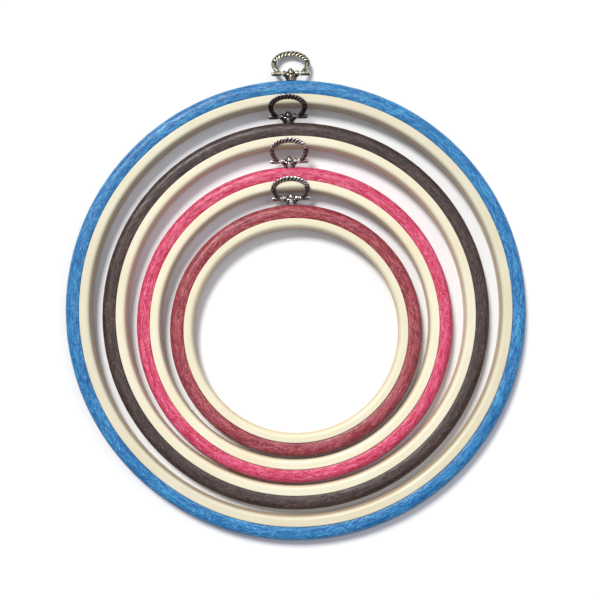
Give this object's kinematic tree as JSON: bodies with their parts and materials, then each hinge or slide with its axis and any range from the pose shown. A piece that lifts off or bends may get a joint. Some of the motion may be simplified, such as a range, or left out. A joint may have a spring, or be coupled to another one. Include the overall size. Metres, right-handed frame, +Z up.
{
  "type": "embroidery hoop set",
  "caption": "Nested set of round embroidery hoops, each a soft wood-grain vinyl outer ring over a rigid cream inner ring, with an ornate metal hanging bail.",
  "frame": {"origin": "on the surface the set lies on, under the middle of its outline", "axes": "+Z up, along the axes of the rings and out of the stitching side; +Y from the hoops' middle towards the hangers; +X to the right when seen from above"},
  "size_m": [0.23, 0.246, 0.0163],
  "materials": {
    "blue_vinyl": "soft vinyl with a streaked wood grain, satin gloss",
    "brown_vinyl": "soft vinyl with a streaked wood grain, satin gloss",
    "pink_vinyl": "soft vinyl with a streaked wood grain, satin gloss",
    "dark_red_vinyl": "soft vinyl with a streaked wood grain, satin gloss",
    "cream_plastic": "smooth moulded cream plastic, satin",
    "blue_hanger_metal": "antique brass plated, polished on the high spots",
    "brown_hanger_metal": "dark gunmetal plated zinc, semi gloss",
    "pink_hanger_metal": "antique copper and nickel plated, bright on the beads",
    "dark_red_hanger_metal": "antique nickel plated zinc, bright on the high spots",
    "pin_steel": "plain drawn steel"
  },
  "bodies": {
    "blue_outer": {"blue_outer_ring": "blue_vinyl", "blue_hanger_post": "blue_hanger_metal", "blue_hanger_pin": "pin_steel", "blue_hanger_screw": "pin_steel"},
    "blue_inner": {"blue_inner_ring": "cream_plastic"},
    "blue_bail": {"blue_hanger_bail": "blue_hanger_metal"},
    "brown_outer": {"brown_outer_ring": "brown_vinyl", "brown_hanger_post": "brown_hanger_metal", "brown_hanger_pin": "pin_steel", "brown_hanger_screw": "pin_steel"},
    "brown_inner": {"brown_inner_ring": "cream_plastic"},
    "brown_bail": {"brown_hanger_bail": "brown_hanger_metal"},
    "pink_outer": {"pink_outer_ring": "pink_vinyl", "pink_hanger_post": "pink_hanger_metal", "pink_hanger_pin": "pin_steel", "pink_hanger_screw": "pin_steel"},
    "pink_inner": {"pink_inner_ring": "cream_plastic"},
    "pink_bail": {"pink_hanger_bail": "pink_hanger_metal"},
    "dark_red_outer": {"dark_red_outer_ring": "dark_red_vinyl", "dark_red_hanger_post": "dark_red_hanger_metal", "dark_red_hanger_pin": "pin_steel", "dark_red_hanger_screw": "pin_steel"},
    "dark_red_inner": {"dark_red_inner_ring": "cream_plastic"},
    "dark_red_bail": {"dark_red_hanger_bail": "dark_red_hanger_metal"}
  },
  "joints": [
    {"name": "blue_inner_push_out", "type": "slide", "parent": "blue_outer", "child": "blue_inner", "axis": [0, 0, 1], "range_m": [0, 0.025]},
    {"name": "blue_bail_swing", "type": "hinge", "parent": "blue_outer", "child": "blue_bail", "pos_m": [-0.00247, 0.1101, 0.0058], "axis": [0.9998, 0.0209, 0], "range_deg": [-4, 155]},
    {"name": "brown_hoop_lift", "type": "slide", "parent": "blue_inner", "child": "brown_outer", "axis": [0, 0, 1], "range_m": [0, 0.025]},
    {"name": "brown_inner_push_out", "type": "slide", "parent": "brown_outer", "child": "brown_inner", "axis": [0, 0, 1], "range_m": [0, 0.025]},
    {"name": "brown_bail_swing", "type": "hinge", "parent": "brown_outer", "child": "brown_bail", "pos_m": [-0.00382, 0.08861, 0.0058], "axis": [0.9993, 0.0384, 0], "range_deg": [-15, 87]},
    {"name": "pink_hoop_lift", "type": "slide", "parent": "brown_inner", "child": "pink_outer", "axis": [0, 0, 1], "range_m": [0, 0.025]},
    {"name": "pink_inner_push_out", "type": "slide", "parent": "pink_outer", "child": "pink_inner", "axis": [0, 0, 1], "range_m": [0, 0.025]},
    {"name": "pink_bail_swing", "type": "hinge", "parent": "pink_outer", "child": "pink_bail", "pos_m": [-0.0032, 0.06639, 0.0058], "axis": [0.9995, 0.0332, 0], "range_deg": [-14, 84]},
    {"name": "dark_red_hoop_lift", "type": "slide", "parent": "pink_inner", "child": "dark_red_outer", "axis": [0, 0, 1], "range_m": [0, 0.025]},
    {"name": "dark_red_inner_push_out", "type": "slide", "parent": "dark_red_outer", "child": "dark_red_inner", "axis": [0, 0, 1], "range_m": [0, 0.025]},
    {"name": "dark_red_bail_swing", "type": "hinge", "parent": "dark_red_outer", "child": "dark_red_bail", "pos_m": [-0.00244, 0.04798, 0.0058], "axis": [0.9993, 0.0384, 0], "range_deg": [0, 90.5]}
  ]
}
